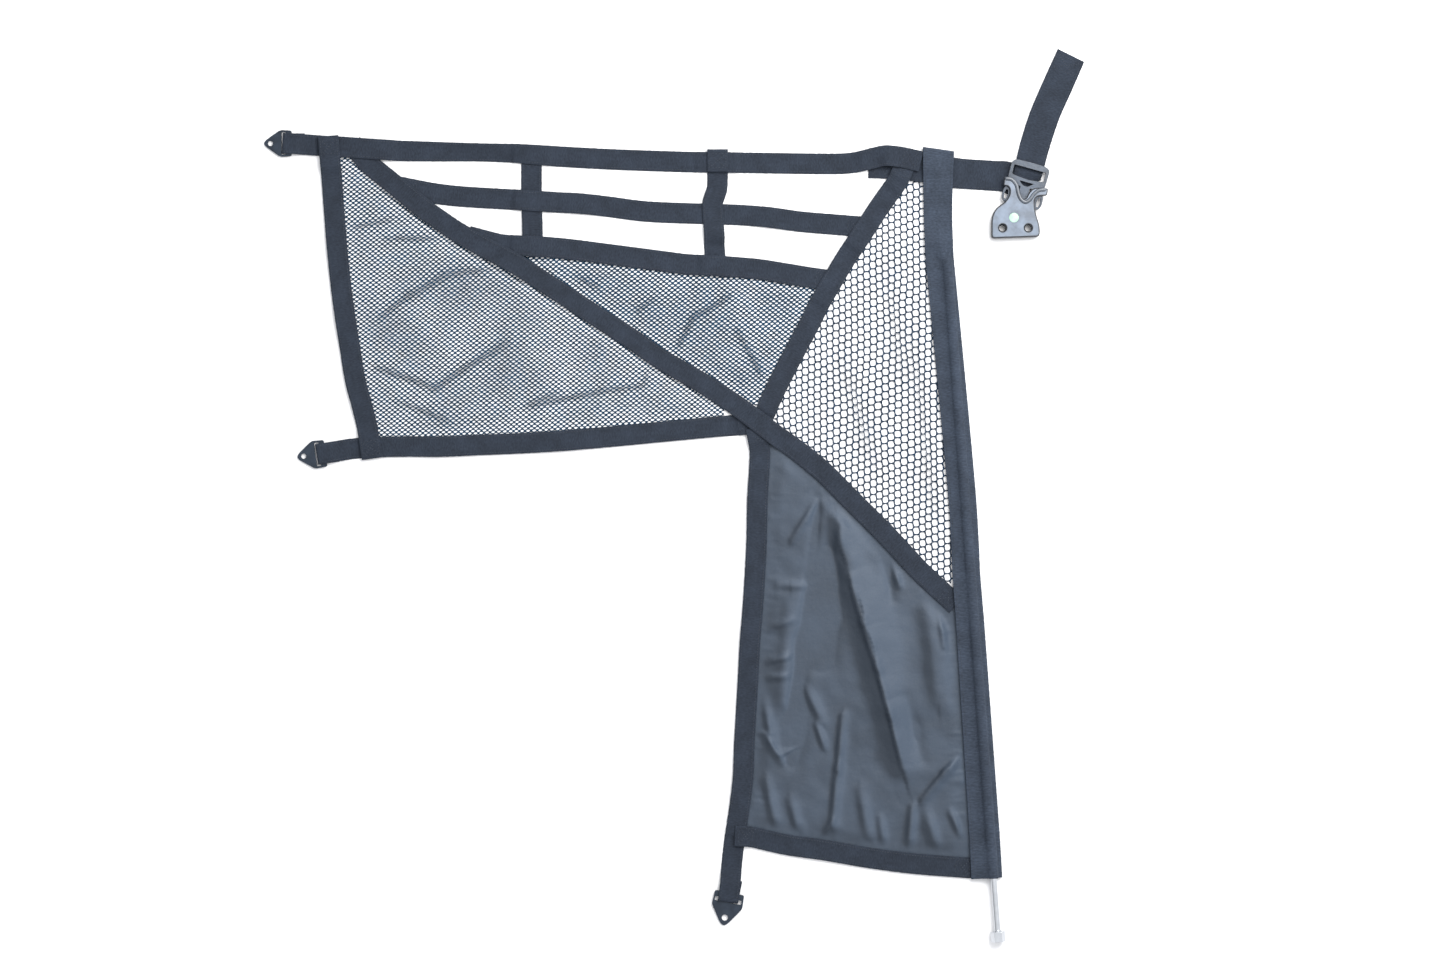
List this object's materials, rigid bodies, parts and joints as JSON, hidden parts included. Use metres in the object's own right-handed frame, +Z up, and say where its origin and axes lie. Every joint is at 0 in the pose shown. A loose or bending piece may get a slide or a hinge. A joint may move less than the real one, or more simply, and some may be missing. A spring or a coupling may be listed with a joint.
{
  "type": "door safety net",
  "caption": "Flat sewn door safety net for an off-road vehicle, with webbing straps, nets, a fabric panel, bolt tabs, a rod in a sleeve and a buckle on its anchor plate.",
  "frame": {"origin": "on the surface that it lies on, under the middle of its outline", "axes": "+Z up from the surface, face up; +Y towards the top strap, along the rod's sleeve; +X towards the buckle"},
  "size_m": [1.0096, 1.0988, 0.0156],
  "materials": {
    "webbing": "woven polyester webbing, matt, fine ribs across",
    "fine_net": "fine knitted mesh, matt",
    "coarse_net": "coarse knitted mesh, matt",
    "panel_fabric": "smooth nylon cloth with a soft sheen",
    "tab_steel": "gloss dark coating on pressed steel",
    "plate_plastic": "gloss light grey moulding",
    "buckle_plastic": "gloss mid grey moulding",
    "dot_inlay": "smooth pale mint inlay",
    "rod_steel": "polished steel"
  },
  "bodies": {
    "root": {"fine_net_left": "fine_net", "fine_net_middle": "fine_net", "fabric_panel": "panel_fabric", "coarse_net": "coarse_net", "tab_upper": "tab_steel", "tab_middle": "tab_steel", "tab_lower": "tab_steel", "upright_left": "webbing", "middle_strap": "webbing", "low_strap": "webbing", "short_diagonal_strap": "webbing", "bottom_left_strap": "webbing", "panel_left_strap": "webbing", "long_diagonal_strap": "webbing", "top_strap": "webbing", "left_strap": "webbing", "panel_bottom_strap": "webbing", "upright_right": "webbing", "rod_sleeve": "webbing", "buckle_strap": "webbing", "steel_rod": "rod_steel", "buckle_frame": "buckle_plastic", "anchor_plate": "plate_plastic"}
  },
  "joints": []
}
